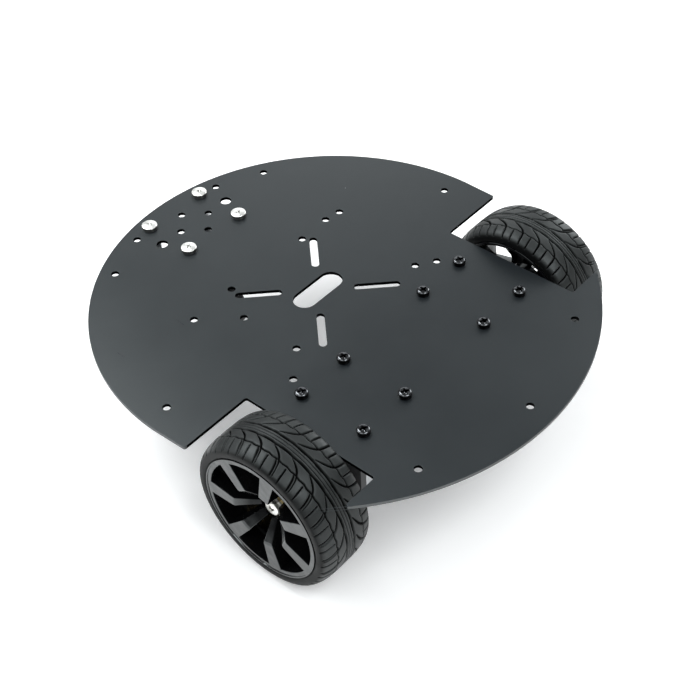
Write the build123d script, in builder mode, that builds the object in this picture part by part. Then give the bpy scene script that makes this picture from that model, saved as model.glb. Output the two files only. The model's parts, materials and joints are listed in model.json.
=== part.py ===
# Round two-wheel-drive robot chassis: one thin deck plate with two wheel
# notches, two geared motors on angle brackets under it, two treaded wheels on
# hexagonal couplings, and a small swivel caster on four standoffs.
#
# Frame: origin on the floor under the middle of the deck, +X to the right,
# +Y forwards (towards the caster), +Z up.  Millimetres.
import math
import os

from build123d import *

os.makedirs("parts", exist_ok=True)

# ---------------------------------------------------------------- dimensions
# deck
deck_top = 53.9
deck_t = 1.5
deck_bot = deck_top - deck_t
front_r = 95.0                 # front outline arc
front_cy = 7.7
rear_r = 112.7                 # flatter rear outline arc
rear_cy = 10.0
notch_x = 62.4                 # inner edge of each wheel notch
notch_front = -8.0
notch_rear = -70.0
corner_x = 94.5                # front outer corner of each notch
slot_cy = 11.4                 # middle of the centre slot and diagonal slots
slot_len, slot_w = 25.4, 9.8
diag_off, diag_len, diag_w = 17.0, 19.0, 3.2
small_r = 1.6                  # M3 clearance holes
big_r = 2.45
m3_clear_r = 1.7
m4_clear_r = 2.2

# drive axle
axle_y = -38.4
axle_z = 32.5
motor_drop = 7.0               # gearbox centre below the output shaft
box_z = axle_z - motor_drop

# bracket
br_half = 20.0
br_t = 3.0
br_in, br_out = 20.0, 56.5     # foot from br_in to the face plate at br_out
foot_x = (24.6, 48.6)
foot_dy = 15.0
face_pcr = 15.5
m3_head_r, m3_head_h = 2.8, 2.4
m3_shank_r, m3_len = 1.45, 8.0

# gearmotor, distances from the middle of the robot
box_back, box_front = 30.0, 51.0
plate_front = br_out - br_t    # 53.5, gearbox front plate meets the bracket
box_r, box_cav_r = 18.5, 17.6
boss_r, boss_end = 6.0, 58.5
shaft_r, shaft_in, shaft_out = 3.0, 42.4, 72.6
run = 0.04                     # radial running clearance
can_r, can_in = 16.75, 8.0
pin_r = 1.0

# gears: module 0.5, teeth stop at the pitch circle
gear_m = 0.5
z_pin, z_a_big, z_a_small, z_b_big, z_b_small, z_out = 10, 26, 10, 26, 12, 40
a_pos = (1.79, -15.82)         # first idler, from the output shaft
b_pos = (8.50, -9.84)          # second idler
m_pos = (0.0, -motor_drop)

# wheel
wheel_c = 77.2                 # middle of the wheel from the robot's middle
rim_half = 13.0
tyre_r = 32.5
lip_r = 26.7
seat_r = 26.2
barrel_r = 24.4
n_spokes = 7
spoke_phase = {-1: 25.5, 1: 33.0}
hub_face = 79.8                # washer seat
hub_in = 72.5
hex_af = 12.0
hex_in, hex_bore, hex_out = 61.6, 73.1, 77.6

# caster
cas_x, cas_y = 0.0, 82.5
cas_dx, cas_dy = 15.0, 12.0
stand_len, stand_r = 20.0, 3.75
cp_top = deck_bot - stand_len  # 32.4
cp_t = 1.5
trail = 10.0
cw_r, cw_half = 12.5, 5.5
ax_z = cw_r
ax_y = cas_y - trail
m4_head_r, m4_head_h = 3.55, 2.5
m4_shank_r, m4_len = 1.95, 8.0


def side_plane(s, d, v=0.0):
    """Plane square to the axle at distance d from the middle; local y is up."""
    return Plane(origin=(s * d, axle_y, axle_z + v), x_dir=(0, s, 0), z_dir=(s, 0, 0))


def axial_plane(s):
    """Plane through the axle: local x runs outwards, local y up."""
    return Plane(origin=(0, axle_y, axle_z), x_dir=(s, 0, 0), z_dir=(0, -s, 0))


axle_axis = Axis((0, axle_y, axle_z), (1, 0, 0))


def gear_points(teeth):
    """Outline of a stub-tooth gear, tips just inside the pitch circle."""
    rp = gear_m * teeth / 2
    tip, root = rp - 0.05, rp - 0.62
    pts = []
    for i in range(teeth):
        a = 2 * math.pi * i / teeth
        h = math.pi / teeth
        for da, r in ((-0.72 * h, root), (-0.34 * h, tip), (0.34 * h, tip), (0.72 * h, root)):
            pts.append((r * math.cos(a + da), r * math.sin(a + da)))
    return pts


# ---------------------------------------------------------------- deck plate
pair = lambda x, y: [(-x, y), (x, y)]
small_holes = (
    pair(84.5, 11.6) + pair(44.9, 83.7) + pair(23.8, 93.1) + pair(49.6, -79.3)
    + [(0, -92.4)] + pair(8.2, 82.3) + [(0, 90.4), (0, 74.2)]
    + pair(44.2, slot_cy + 26.6) + pair(44.2, slot_cy - 26.6)
    + [(-21.7, 39.1), (36.4, 39.1), (36.4, -10.0)]
    + [(-31.0, 23.2), (-31.0, -4.9), (20.3, 38.2)]
)
foot_points = [(sx * x, axle_y + sy * foot_dy) for sx in (-1, 1) for x in foot_x for sy in (-1, 1)]
cas_points = [(cas_x + sx * cas_dx, cas_y + sy * cas_dy) for sx in (-1, 1) for sy in (-1, 1)]
rear_x = math.sqrt(rear_r ** 2 - (notch_rear - rear_cy) ** 2)

with BuildPart() as deck_plate:
    with BuildSketch(Plane.XY.offset(deck_bot)) as deck_sk:
        with BuildLine():
            ThreePointArc((-front_r, front_cy), (0, front_cy + front_r), (front_r, front_cy))
            Polyline((front_r, front_cy), (corner_x, notch_front), (notch_x, notch_front),
                     (notch_x, notch_rear), (rear_x, notch_rear))
            ThreePointArc((rear_x, notch_rear), (0, rear_cy - rear_r), (-rear_x, notch_rear))
            Polyline((-rear_x, notch_rear), (-notch_x, notch_rear), (-notch_x, notch_front),
                     (-corner_x, notch_front), (-front_r, front_cy))
        make_face()
        corners = [v for v in deck_sk.vertices() if notch_rear - 0.1 < v.Y < notch_front + 0.1]
        fillet(corners, radius=0.9)
        with Locations((0, slot_cy)):
            SlotOverall(slot_len, slot_w, mode=Mode.SUBTRACT)
        for sx, sy in ((1, 1), (-1, -1)):
            with Locations((sx * diag_off, slot_cy + sy * diag_off)):
                SlotOverall(diag_len, diag_w, rotation=45, mode=Mode.SUBTRACT)
        for sx, sy in ((1, -1), (-1, 1)):
            with Locations((sx * diag_off, slot_cy + sy * diag_off)):
                SlotOverall(diag_len, diag_w, rotation=-45, mode=Mode.SUBTRACT)
        with Locations(*small_holes):
            Circle(small_r, mode=Mode.SUBTRACT)
        with Locations(*pair(19.2, 82.4)):
            Circle(big_r, mode=Mode.SUBTRACT)
        with Locations(*foot_points):
            Circle(m3_clear_r, mode=Mode.SUBTRACT)
        with Locations(*cas_points):
            Circle(m4_clear_r, mode=Mode.SUBTRACT)
    extrude(amount=deck_t)

# ---------------------------------------------------------------- fasteners of the deck
with BuildPart() as bracket_screws:
    with BuildSketch(Plane.XY.offset(deck_top)):
        with Locations(*foot_points):
            Circle(m3_head_r)
    extrude(amount=m3_head_h)
    fillet(bracket_screws.edges().filter_by(GeomType.CIRCLE).group_by(Axis.Z)[-1], radius=0.7)
    with BuildSketch(Plane.XY.offset(deck_top)):
        with Locations(*foot_points):
            Circle(m3_shank_r)
    extrude(amount=-m3_len)
    with BuildSketch(Plane.XY.offset(deck_top + m3_head_h)):
        with Locations(*foot_points):
            Rectangle(3.2, 0.8)
            Rectangle(0.8, 3.2)
    extrude(amount=-1.3, mode=Mode.SUBTRACT)

nut_top = deck_bot - br_t
with BuildPart() as bracket_nuts:
    with BuildSketch(Plane.XY.offset(nut_top)):
        with Locations(*foot_points):
            RegularPolygon(radius=2.75, side_count=6, major_radius=False, rotation=30)
            Circle(m3_shank_r + 0.05, mode=Mode.SUBTRACT)
    extrude(amount=-2.4)

with BuildPart() as caster_standoffs:
    with BuildSketch(Plane.XY.offset(cp_top)):
        with Locations(*cas_points):
            Circle(stand_r)
            Circle(m4_shank_r + 0.05, mode=Mode.SUBTRACT)
    extrude(amount=stand_len)
    chamfer(caster_standoffs.edges().filter_by(GeomType.CIRCLE)
            .filter_by(lambda e: abs(e.radius - stand_r) < 0.01), length=0.3)

# four screws down through the deck and four up through the caster's plate
with BuildPart() as caster_screws:
    with BuildSketch(Plane.XY.offset(deck_top)):
        with Locations(*cas_points):
            Circle(m4_head_r)
    extrude(amount=m4_head_h)
    fillet(caster_screws.edges().filter_by(GeomType.CIRCLE).group_by(Axis.Z)[-1], radius=1.3)
    with BuildSketch(Plane.XY.offset(deck_top)):
        with Locations(*cas_points):
            Circle(m4_shank_r)
    extrude(amount=-m4_len)
    with BuildSketch(Plane.XY.offset(deck_top + m4_head_h)):
        with Locations(*cas_points):
            Rectangle(3.6, 0.9)
            Rectangle(0.9, 3.6)
    extrude(amount=-1.5, mode=Mode.SUBTRACT)
    with BuildSketch(Plane.XY.offset(cp_top - cp_t)):
        with Locations(*cas_points):
            Circle(m4_head_r)
    extrude(amount=-m4_head_h)
    fillet(caster_screws.edges().filter_by(GeomType.CIRCLE).group_by(Axis.Z)[0], radius=1.3)
    with BuildSketch(Plane.XY.offset(cp_top - cp_t)):
        with Locations(*cas_points):
            Circle(m4_shank_r)
    extrude(amount=m4_len)
    with BuildSketch(Plane.XY.offset(cp_top - cp_t - m4_head_h)):
        with Locations(*cas_points):
            Rectangle(3.6, 0.9)
            Rectangle(0.9, 3.6)
    extrude(amount=1.5, mode=Mode.SUBTRACT)

# ---------------------------------------------------------------- caster
race_z0 = cp_top - cp_t - 3.0          # top of the fork crown
with BuildPart() as caster_mount_plate:
    with BuildSketch(Plane.XY.offset(cp_top - cp_t)):
        with Locations((cas_x, cas_y)):
            RectangleRounded(38, 32, 3)
            Circle(2.5, mode=Mode.SUBTRACT)
        with Locations(*cas_points):
            Circle(m4_clear_r, mode=Mode.SUBTRACT)
    extrude(amount=cp_t)
    # outer skirt of the ball race, pressed down from the plate
    with BuildSketch(Plane.XY.offset(cp_top - cp_t)):
        with Locations((cas_x, cas_y)):
            Circle(10.6)
            Circle(9.6, mode=Mode.SUBTRACT)
    extrude(amount=-2.6)

with BuildPart() as caster_kingpin:
    with BuildSketch(Plane.XY.offset(cp_top)):
        with Locations((cas_x, cas_y)):
            Circle(4.2)
    extrude(amount=1.4)
    with BuildSketch(Plane.XY.offset(cp_top)):
        with Locations((cas_x, cas_y)):
            Circle(2.5)
    extrude(amount=-(cp_t + 3.0 + 1.5 + 0.1))
    with BuildSketch(Plane.XY.offset(race_z0 - 1.6)):
        with Locations((cas_x, cas_y)):
            Circle(4.2)
    extrude(amount=-1.0)
    fillet(caster_kingpin.edges().filter_by(GeomType.CIRCLE).group_by(Axis.Z)[-1], radius=0.9)

with BuildPart() as caster_balls:
    with Locations((cas_x, cas_y, race_z0 + 1.5)):
        with PolarLocations(6.8, 12):
            Sphere(1.45)

with BuildPart() as caster_fork:
    with BuildSketch(Plane.XY.offset(race_z0)):
        with Locations((cas_x, cas_y)):
            Circle(9.3)
            Rectangle(15.4, 16)
            Circle(2.5 + 0.05, mode=Mode.SUBTRACT)
    extrude(amount=-1.5)
    for sx in (-1, 1):
        leg = Plane(origin=(sx * 7.7, 0, 0), x_dir=(0, 1, 0), z_dir=(1, 0, 0))
        with BuildSketch(leg):
            with BuildLine():
                Polyline((cas_y + 8, race_z0), (cas_y - 8, race_z0), (ax_y - 4.4, ax_z + 3.0),
                         (ax_y - 4.4, ax_z - 1.6), (ax_y - 1.6, ax_z - 4.4),
                         (ax_y + 2.4, ax_z - 4.4), (cas_y + 8, race_z0 - 5.0), close=True)
            make_face()
        extrude(amount=-sx * 1.5)
    for sx in (-1, 1):
        leg = Plane(origin=(sx * 7.7, ax_y, ax_z), x_dir=(0, 1, 0), z_dir=(1, 0, 0))
        with BuildSketch(leg):
            Circle(2.0)
        extrude(amount=-sx * 1.5, mode=Mode.SUBTRACT)

axle_plane = Plane(origin=(0, ax_y, ax_z), x_dir=(0, 1, 0), z_dir=(1, 0, 0))
with BuildPart() as caster_axle:
    with BuildSketch(axle_plane.offset(-7.7)):
        Circle(2.0)
    extrude(amount=17.4)
    with BuildSketch(axle_plane.offset(-7.7)):
        Circle(3.3)
    extrude(amount=-1.5)
    fillet(caster_axle.edges().filter_by(GeomType.CIRCLE).group_by(Axis.X)[0], radius=0.7)

with BuildPart() as caster_axle_nut:
    with BuildSketch(axle_plane.offset(7.7)):
        RegularPolygon(radius=3.3, side_count=6, major_radius=False)
        Circle(2.0, mode=Mode.SUBTRACT)
    extrude(amount=1.6)

with BuildPart() as caster_hub:
    with BuildSketch(axle_plane.offset(-4.6)):
        Circle(9.6)
        Circle(2.0 + 0.06, mode=Mode.SUBTRACT)
    extrude(amount=9.2)
    for sx in (-1, 1):
        with BuildSketch(axle_plane.offset(sx * 4.6)):
            Circle(8.2)
            Circle(3.6, mode=Mode.SUBTRACT)
        extrude(amount=-sx * 2.2, mode=Mode.SUBTRACT)
        with BuildSketch(axle_plane.offset(sx * 4.6)):
            Circle(3.4)
            Circle(2.0 + 0.06, mode=Mode.SUBTRACT)
        extrude(amount=sx * 1.2)

with BuildPart() as caster_tread:
    with BuildSketch(axle_plane.offset(-cw_half)):
        Circle(cw_r)
        Circle(9.6, mode=Mode.SUBTRACT)
    extrude(amount=2 * cw_half)
    fillet(caster_tread.edges().filter_by(GeomType.CIRCLE)
           .filter_by(lambda e: abs(e.radius - cw_r) < 0.01), radius=1.6)

shared = {
    "deck_plate": deck_plate, "bracket_screws": bracket_screws, "bracket_nuts": bracket_nuts,
    "caster_standoffs": caster_standoffs, "caster_screws": caster_screws,
    "caster_mount_plate": caster_mount_plate, "caster_kingpin": caster_kingpin,
    "caster_balls": caster_balls, "caster_fork": caster_fork, "caster_axle": caster_axle,
    "caster_axle_nut": caster_axle_nut, "caster_hub": caster_hub, "caster_tread": caster_tread,
}
for label, block in shared.items():
    block.part.label = label
    export_step(block.part, f"parts/{label}.step")

# ---------------------------------------------------------------- one drive side, made twice
for s, side in ((-1, "left"), (1, "right")):
    # angle bracket: foot under the deck, face plate round the gearbox nose
    with BuildPart() as motor_bracket:
        with BuildSketch(axial_plane(s)):
            with BuildLine():
                Polyline((br_in, deck_bot - axle_z), (br_out, deck_bot - axle_z),
                         (br_out, 6.5 - axle_z), (br_out - br_t, 6.5 - axle_z),
                         (br_out - br_t, nut_top - axle_z - 2.0),
                         (br_out - br_t - 2.0, nut_top - axle_z),
                         (br_in, nut_top - axle_z), close=True)
            make_face()
        extrude(amount=br_half, both=True)
        with BuildSketch(side_plane(s, 0)):
            with Locations(m_pos):
                Circle(br_half)
                Rectangle(2 * br_half, 40, align=(Align.CENTER, Align.MIN))
        extrude(amount=60, mode=Mode.INTERSECT)
        with BuildSketch(Plane.XY.offset(nut_top)):
            with Locations(*[(s * x, axle_y + k * foot_dy) for x in foot_x for k in (-1, 1)]):
                Circle(m3_clear_r)
        extrude(amount=br_t, mode=Mode.SUBTRACT)
        with BuildSketch(side_plane(s, plate_front)):
            Circle(boss_r + 0.2)
            with Locations(m_pos):
                with PolarLocations(face_pcr, 6):
                    Circle(1.6)
        extrude(amount=br_t, mode=Mode.SUBTRACT)

    with BuildPart() as face_screws:
        with BuildSketch(side_plane(s, br_out, -motor_drop)):
            with PolarLocations(face_pcr, 6):
                Circle(2.75)
        extrude(amount=2.0)
        with BuildSketch(side_plane(s, br_out, -motor_drop)):
            with PolarLocations(face_pcr, 6):
                Circle(m3_shank_r)
        extrude(amount=-5.2)
        with BuildSketch(side_plane(s, br_out + 2.0, -motor_drop)):
            with PolarLocations(face_pcr, 6):
                Rectangle(3.0, 0.8)
                Rectangle(0.8, 3.0)
        extrude(amount=-1.1, mode=Mode.SUBTRACT)

    # gearbox
    with BuildPart() as gearbox_front_plate:
        with BuildSketch(side_plane(s, box_front, -motor_drop)):
            Circle(box_r)
            with PolarLocations(face_pcr, 6):
                Circle(1.5, mode=Mode.SUBTRACT)
        extrude(amount=plate_front - box_front)
        with BuildSketch(side_plane(s, plate_front)):
            Circle(boss_r)
        extrude(amount=boss_end - plate_front)
        with BuildSketch(side_plane(s, box_front)):
            Circle(4.0)
        extrude(amount=boss_end - box_front, mode=Mode.SUBTRACT)
        with BuildSketch(side_plane(s, box_front)):
            with Locations(a_pos, b_pos):
                Circle(pin_r)
        extrude(amount=1.4, mode=Mode.SUBTRACT)

    with BuildPart() as output_bush:
        with BuildSketch(side_plane(s, box_front)):
            Circle(4.0)
            Circle(shaft_r + run, mode=Mode.SUBTRACT)
        extrude(amount=boss_end - box_front)

    with BuildPart() as gearbox_housing:
        with BuildSketch(side_plane(s, box_back, -motor_drop)):
            Circle(box_r)
        extrude(amount=box_front - box_back)
        with BuildSketch(side_plane(s, box_back + 1.5, -motor_drop)):
            Circle(box_cav_r)
        extrude(amount=box_front - box_back - 1.5, mode=Mode.SUBTRACT)
        with BuildSketch(side_plane(s, box_back, -motor_drop)):
            Circle(3.4)
        extrude(amount=1.5, mode=Mode.SUBTRACT)
        with BuildSketch(side_plane(s, box_back + 0.6)):
            with Locations(a_pos, b_pos):
                Circle(pin_r)
        extrude(amount=0.9, mode=Mode.SUBTRACT)

    with BuildPart() as gear_pins:
        with BuildSketch(side_plane(s, box_back + 0.6)):
            with Locations(a_pos, b_pos):
                Circle(pin_r)
        extrude(amount=box_front + 1.4 - box_back - 0.6)

    with BuildPart() as first_gear:
        with BuildSketch(side_plane(s, 33.5)):
            with Locations(a_pos):
                Polygon(*gear_points(z_a_big), align=None)
        extrude(amount=3.0)
        with BuildSketch(side_plane(s, 36.5)):
            with Locations(a_pos):
                Polygon(*gear_points(z_a_small), align=None)
        extrude(amount=5.5)
        with BuildSketch(side_plane(s, 33.5)):
            with Locations(a_pos):
                Circle(pin_r + 0.05)
        extrude(amount=8.5, mode=Mode.SUBTRACT)

    with BuildPart() as second_gear:
        with BuildSketch(side_plane(s, 38.0)):
            with Locations(b_pos):
                Polygon(*gear_points(z_b_big), align=None)
        extrude(amount=3.0)
        with BuildSketch(side_plane(s, 41.0)):
            with Locations(b_pos):
                Polygon(*gear_points(z_b_small), align=None)
        extrude(amount=7.5)
        with BuildSketch(side_plane(s, 38.0)):
            with Locations(b_pos):
                Circle(pin_r + 0.05)
        extrude(amount=10.5, mode=Mode.SUBTRACT)

    with BuildPart() as output_gear:
        with BuildSketch(side_plane(s, 43.0)):
            Polygon(*gear_points(z_out), align=None)
            Circle(shaft_r, mode=Mode.SUBTRACT)
        extrude(amount=5.0)

    with BuildPart() as output_shaft:
        with BuildSketch(side_plane(s, shaft_in)):
            Circle(shaft_r)
        extrude(amount=shaft_out - shaft_in)
        # flat on the outer end for the grub screws
        with BuildSketch(side_plane(s, 60.0)):
            with Locations((0, 2.5)):
                Rectangle(8, 2, align=(Align.CENTER, Align.MIN))
        extrude(amount=shaft_out - 60.0, mode=Mode.SUBTRACT)
        chamfer(output_shaft.edges().filter_by(GeomType.CIRCLE).group_by(Axis.X)[0 if s < 0 else -1],
                length=0.4)

    # motor
    with BuildPart() as motor_can:
        with BuildSketch(side_plane(s, can_in, -motor_drop)):
            Circle(can_r)
        extrude(amount=box_back - can_in)
        with BuildSketch(side_plane(s, can_in, -motor_drop)):
            Circle(can_r - 1.2)
        extrude(amount=box_back - can_in - 1.5, mode=Mode.SUBTRACT)
        with BuildSketch(side_plane(s, can_in, -motor_drop)):
            Circle(1.05)
        extrude(amount=box_back - can_in, mode=Mode.SUBTRACT)

    with BuildPart() as motor_end_cap:
        with BuildSketch(side_plane(s, can_in - 2.5, -motor_drop)):
            Circle(can_r)
        extrude(amount=2.5)
        with BuildSketch(side_plane(s, can_in, -motor_drop)):
            Circle(can_r - 1.2)
        extrude(amount=1.5)
        # brush-gear boss on the back
        with BuildSketch(side_plane(s, can_in - 2.5, -motor_drop)):
            Circle(4.5)
        extrude(amount=-1.6)
        with BuildSketch(side_plane(s, can_in - 2.0, -motor_drop)):
            Circle(1.05)
        extrude(amount=3.5, mode=Mode.SUBTRACT)

    with BuildPart() as motor_terminals:
        with BuildSketch(side_plane(s, can_in - 2.5, -motor_drop)):
            with Locations((-10, 0), (10, 0)):
                Rectangle(0.5, 2.8)
        extrude(amount=-3.6)
        for k in (-1, 1):
            with BuildSketch(Plane(origin=(s * (can_in - 4.8), axle_y + k * 10, box_z),
                                   x_dir=(1, 0, 0), z_dir=(0, 1, 0))):
                Circle(0.6)
            extrude(amount=1.0, both=True, mode=Mode.SUBTRACT)

    with BuildPart() as motor_rotor:
        with BuildSketch(side_plane(s, 6.3, -motor_drop)):
            Circle(1.0)
        extrude(amount=37.0 - 6.3)
        with BuildSketch(side_plane(s, 12.5, -motor_drop)):
            Circle(10.8)
            with PolarLocations(8.8, 3):
                Rectangle(4.6, 1.6, mode=Mode.SUBTRACT)
        extrude(amount=14.0)
        with BuildSketch(side_plane(s, 9.9, -motor_drop)):
            Circle(3.2)
        extrude(amount=2.6)

    with BuildPart() as motor_pinion:
        with BuildSketch(side_plane(s, 32.6, -motor_drop)):
            Polygon(*gear_points(z_pin), align=None)
            Circle(1.0, mode=Mode.SUBTRACT)
        extrude(amount=4.4)

    # hexagonal coupling between shaft and wheel
    grub_x = (64.2, 68.6)
    with BuildPart() as hex_coupling:
        with BuildSketch(side_plane(s, hex_in)):
            RegularPolygon(radius=hex_af / 2, side_count=6, major_radius=False)
            Circle(shaft_r, mode=Mode.SUBTRACT)
        extrude(amount=hex_bore - hex_in)
        with BuildSketch(side_plane(s, hex_bore)):
            RegularPolygon(radius=hex_af / 2, side_count=6, major_radius=False)
            Circle(m4_shank_r + 0.05, mode=Mode.SUBTRACT)
        extrude(amount=hex_out - hex_bore)
        with BuildSketch(Plane.XY.offset(axle_z)):
            with Locations(*[(s * x, axle_y) for x in grub_x]):
                Circle(1.5)
        extrude(amount=6.5, mode=Mode.SUBTRACT)

    with BuildPart() as set_screws:
        with BuildSketch(Plane.XY.offset(axle_z + 2.5)):
            with Locations(*[(s * x, axle_y) for x in grub_x]):
                Circle(1.5)
        extrude(amount=3.2)
        with BuildSketch(Plane.XY.offset(axle_z + 5.7)):
            with Locations(*[(s * x, axle_y) for x in grub_x]):
                RegularPolygon(radius=0.75, side_count=6, major_radius=False)
        extrude(amount=-1.2, mode=Mode.SUBTRACT)

    # rim: barrel with two flanges, stepped lip, centre boss and seven spokes
    w0, w1 = wheel_c - rim_half, wheel_c + rim_half
    with BuildPart() as wheel_rim:
        with BuildSketch(axial_plane(s)):
            with BuildLine():
                Polyline((w1, lip_r), (w1 - 1.1, lip_r), (w1 - 1.2, seat_r), (w0 + 1.2, seat_r),
                         (w0 + 1.1, lip_r), (w0, lip_r), (w0, 25.4), (w0 + 2.0, barrel_r),
                         (w1 - 0.35, barrel_r), (w1 - 0.35, 26.1), (w1, 26.2),
                         close=True)
            make_face()
        revolve(axis=axle_axis)
        with BuildSketch(axial_plane(s)):
            with BuildLine():
                Polyline((hub_in, 7.2), (hub_in, 8.8), (78.2, 8.8), (hub_face, 5.6),
                         (hub_face, 2.2), (hex_out, 2.2), (hex_out, 7.2), close=True)
            make_face()
        revolve(axis=axle_axis)
        # spokes: flat outer face to the kink, then a slope down to the hub
        for k in range(n_spokes):
            ang = spoke_phase[s] + k * 360 / n_spokes
            c, sn = math.cos(math.radians(ang)), math.sin(math.radians(ang))
            rad = (0, s * c, sn)
            tan = (0, -s * sn, c)
            spoke_side = Plane(origin=(0, axle_y, axle_z), x_dir=(s, 0, 0),
                               z_dir=Vector(s, 0, 0).cross(Vector(*rad)))
            with BuildSketch(spoke_side) as prof:
                with BuildLine():
                    Polyline((w1 - 0.35, 25.6), (w1 - 0.35, 12.3), (83.6, 4.95), (77.9, 4.95),
                             (77.9, 8.6), (83.2, 12.6), (84.4, 25.6), close=True)
                make_face()
            extrude(amount=2.6, both=True)
        # hexagonal recess
        with BuildSketch(side_plane(s, hub_in)):
            RegularPolygon(radius=hex_af / 2 + 0.05, side_count=6, major_radius=False)
        extrude(amount=hex_out - hub_in, mode=Mode.SUBTRACT)
        with BuildSketch(side_plane(s, hub_in)):
            Circle(7.6)
            RegularPolygon(radius=hex_af / 2 + 0.05, side_count=6, major_radius=False,
                           mode=Mode.SUBTRACT)
        extrude(amount=hex_out - hub_in)
        with BuildSketch(side_plane(s, hub_face)):
            Circle(4.9)
        extrude(amount=12, mode=Mode.SUBTRACT)

    # tyre: hollow rubber carcass, with two circumferential grooves
    with BuildPart() as wheel_tyre:
        with BuildSketch(axial_plane(s)):
            with BuildLine():
                ThreePointArc((wheel_c - 10.0, 31.7), (wheel_c, tyre_r), (wheel_c + 10.0, 31.7))
                Polyline(*[(wheel_c + w, r) for w, r in (
                    (10.0, 31.7), (12.1, 30.7), (12.9, 29.6), (13.0, 28.4), (12.6, lip_r + 0.1),
                    (11.8, lip_r + 0.1), (11.8, seat_r), (9.9, seat_r), (9.9, 27.4),
                    (10.9, 28.6), (10.5, 29.5), (8.5, 30.2), (0, 30.8), (-8.5, 30.2),
                    (-10.5, 29.5), (-10.9, 28.6), (-9.9, 27.4), (-9.9, seat_r),
                    (-11.8, seat_r), (-11.8, lip_r + 0.1), (-12.6, lip_r + 0.1),
                    (-13.0, 28.4), (-12.9, 29.6), (-12.1, 30.7), (-10.0, 31.7))])
            make_face()
            with Locations((wheel_c - 2.0, 31.9), (wheel_c + 2.0, 31.9)):
                Rectangle(0.7, 2.0, align=(Align.CENTER, Align.MIN), mode=Mode.SUBTRACT)
        revolve(axis=axle_axis)

    with BuildPart() as tyre_insert:
        with BuildSketch(axial_plane(s)):
            with BuildLine():
                Polyline(*[(wheel_c + w, r) for w, r in (
                    (-9.7, seat_r), (9.7, seat_r), (9.7, 27.2), (8.0, 29.4), (0, 30.5),
                    (-8.0, 29.4), (-9.7, 27.2))], close=True)
            make_face()
        revolve(axis=axle_axis)

    with BuildPart() as flat_washer:
        with BuildSketch(side_plane(s, hub_face)):
            Circle(4.7)
            Circle(2.15, mode=Mode.SUBTRACT)
        extrude(amount=0.8)

    with BuildPart() as lock_washer:
        with BuildSketch(side_plane(s, hub_face + 0.8)):
            Circle(3.7)
            Circle(2.15, mode=Mode.SUBTRACT)
            with Locations((2.9, -0.3)):
                Rectangle(2.4, 0.5, rotation=20, mode=Mode.SUBTRACT)
        extrude(amount=1.0)

    with BuildPart() as wheel_screw:
        with BuildSketch(side_plane(s, hub_face + 1.8)):
            Circle(m4_head_r)
        extrude(amount=m4_head_h)
        fillet(wheel_screw.edges().filter_by(GeomType.CIRCLE)
               .group_by(Axis.X)[-1 if s > 0 else 0], radius=1.2)
        with BuildSketch(side_plane(s, hub_face + 1.8)):
            Circle(m4_shank_r)
        extrude(amount=-m4_len)
        with BuildSketch(side_plane(s, hub_face + 1.8 + m4_head_h)):
            Rectangle(3.6, 0.9, rotation=20)
            Rectangle(0.9, 3.6, rotation=20)
        extrude(amount=-1.5, mode=Mode.SUBTRACT)

    drive = {
        "motor_bracket": motor_bracket, "face_screws": face_screws,
        "gearbox_front_plate": gearbox_front_plate, "output_bush": output_bush,
        "gearbox_housing": gearbox_housing, "gear_pins": gear_pins,
        "first_gear": first_gear, "second_gear": second_gear, "output_gear": output_gear,
        "output_shaft": output_shaft, "motor_can": motor_can, "motor_end_cap": motor_end_cap,
        "motor_terminals": motor_terminals, "motor_rotor": motor_rotor,
        "motor_pinion": motor_pinion, "hex_coupling": hex_coupling, "set_screws": set_screws,
        "wheel_rim": wheel_rim, "wheel_tyre": wheel_tyre, "tyre_insert": tyre_insert,
        "flat_washer": flat_washer, "lock_washer": lock_washer, "wheel_screw": wheel_screw,
    }
    for label, block in drive.items():
        block.part.label = f"{side}_{label}"
        export_step(block.part, f"parts/{side}_{label}.step")
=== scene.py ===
import json
import math

import bmesh
import bpy
import numpy as np
from mathutils import Matrix, Vector

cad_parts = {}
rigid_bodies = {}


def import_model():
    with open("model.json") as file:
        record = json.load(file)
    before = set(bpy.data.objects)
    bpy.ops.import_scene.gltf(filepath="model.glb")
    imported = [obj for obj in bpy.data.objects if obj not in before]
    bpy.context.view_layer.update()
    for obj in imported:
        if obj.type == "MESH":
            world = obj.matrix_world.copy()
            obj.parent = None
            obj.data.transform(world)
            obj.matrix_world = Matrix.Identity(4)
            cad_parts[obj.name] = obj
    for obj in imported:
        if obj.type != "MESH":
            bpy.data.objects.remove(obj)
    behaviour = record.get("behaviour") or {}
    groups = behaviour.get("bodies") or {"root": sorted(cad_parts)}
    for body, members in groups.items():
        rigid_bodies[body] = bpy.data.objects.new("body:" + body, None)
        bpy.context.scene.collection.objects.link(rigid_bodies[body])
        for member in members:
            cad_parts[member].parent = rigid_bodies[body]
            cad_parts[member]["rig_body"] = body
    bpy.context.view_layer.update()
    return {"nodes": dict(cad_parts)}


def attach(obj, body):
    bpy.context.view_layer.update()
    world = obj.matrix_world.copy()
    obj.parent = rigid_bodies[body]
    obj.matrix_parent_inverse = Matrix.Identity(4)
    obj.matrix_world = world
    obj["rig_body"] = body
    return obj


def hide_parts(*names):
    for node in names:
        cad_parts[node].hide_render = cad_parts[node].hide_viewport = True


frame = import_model()
NODES = frame["nodes"]
MM = 0.001

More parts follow.
